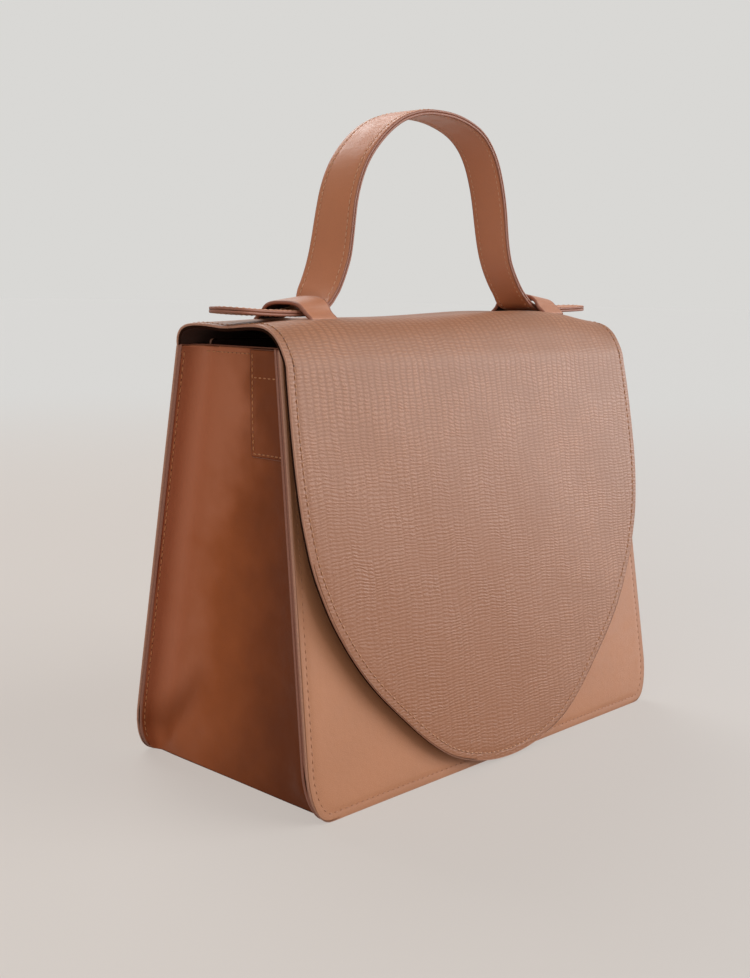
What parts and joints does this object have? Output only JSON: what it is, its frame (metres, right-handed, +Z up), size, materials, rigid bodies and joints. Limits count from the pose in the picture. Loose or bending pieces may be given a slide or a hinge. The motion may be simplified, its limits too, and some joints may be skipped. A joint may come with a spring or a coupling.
{
  "type": "handbag",
  "caption": "Small structured leather handbag with a trapezoid body, soft side gussets, a wide rounded front flap and an arched strap handle held by keepers.",
  "frame": {"origin": "centre of the base's underside, on the floor", "axes": "+X along the width to the right, +Y to the back, +Z up; the flap's front faces -Y"},
  "size_m": [0.2378, 0.1194, 0.2834],
  "materials": {
    "caramel": "smooth, soft satin",
    "embossed": "embossed with small scales, satin",
    "saddle": "smooth, soft satin",
    "lining": "matt",
    "board": "matt",
    "steel": "plain",
    "brass": "polished"
  },
  "bodies": {
    "bag": {"front_panel": "caramel", "front_lining": "lining", "back_panel": "caramel", "back_lining": "lining", "gusset_left": "saddle", "gusset_right": "saddle", "base_panel": "saddle", "base_board": "board", "base_lining": "lining", "gusset_patch_left": "saddle", "gusset_patch_right": "saddle", "ring_tab_left": "saddle", "ring_tab_right": "saddle", "slip_pocket": "lining", "flap_anchor_outer": "embossed", "flap_anchor_lining": "lining", "front_magnet": "steel"},
    "flap_top": {"flap_top_outer": "embossed", "flap_top_lining": "lining", "keeper_left": "caramel", "keeper_right": "caramel", "handle_end_left_outer": "caramel", "handle_end_left_inner": "caramel", "handle_end_right_outer": "caramel", "handle_end_right_inner": "caramel"},
    "flap_front": {"flap_front_outer": "embossed", "flap_front_lining": "lining", "flap_magnet": "steel"},
    "handle": {"handle_arch_outer": "caramel", "handle_arch_inner": "caramel"},
    "ring_left": {"d_ring_left": "brass"},
    "ring_right": {"d_ring_right": "brass"}
  },
  "joints": [
    {"name": "flap_lift", "type": "hinge", "parent": "bag", "child": "flap_top", "pos_m": [0, 0.02932, 0.18382], "axis": [-1, 0, 0], "range_deg": [0, 130]},
    {"name": "flap_unfold", "type": "hinge", "parent": "flap_top", "child": "flap_front", "pos_m": [0, -0.03367, 0.18785], "axis": [-1, 0, 0], "range_deg": [0, 80]},
    {"name": "handle_tilt", "type": "hinge", "parent": "flap_top", "child": "handle", "pos_m": [0, -0.0025, 0.212], "axis": [1, 0, 0], "range_deg": [-35, 35], "stiffness_Nm_per_rad": 0.05},
    {"name": "ring_swing_left", "type": "hinge", "parent": "bag", "child": "ring_left", "pos_m": [-0.09578, -0.0094, 0.1746], "axis": [0, -1, 0], "range_deg": [0, 120]},
    {"name": "ring_swing_right", "type": "hinge", "parent": "bag", "child": "ring_right", "pos_m": [0.09578, -0.0094, 0.1746], "axis": [0, 1, 0], "range_deg": [0, 120]}
  ]
}
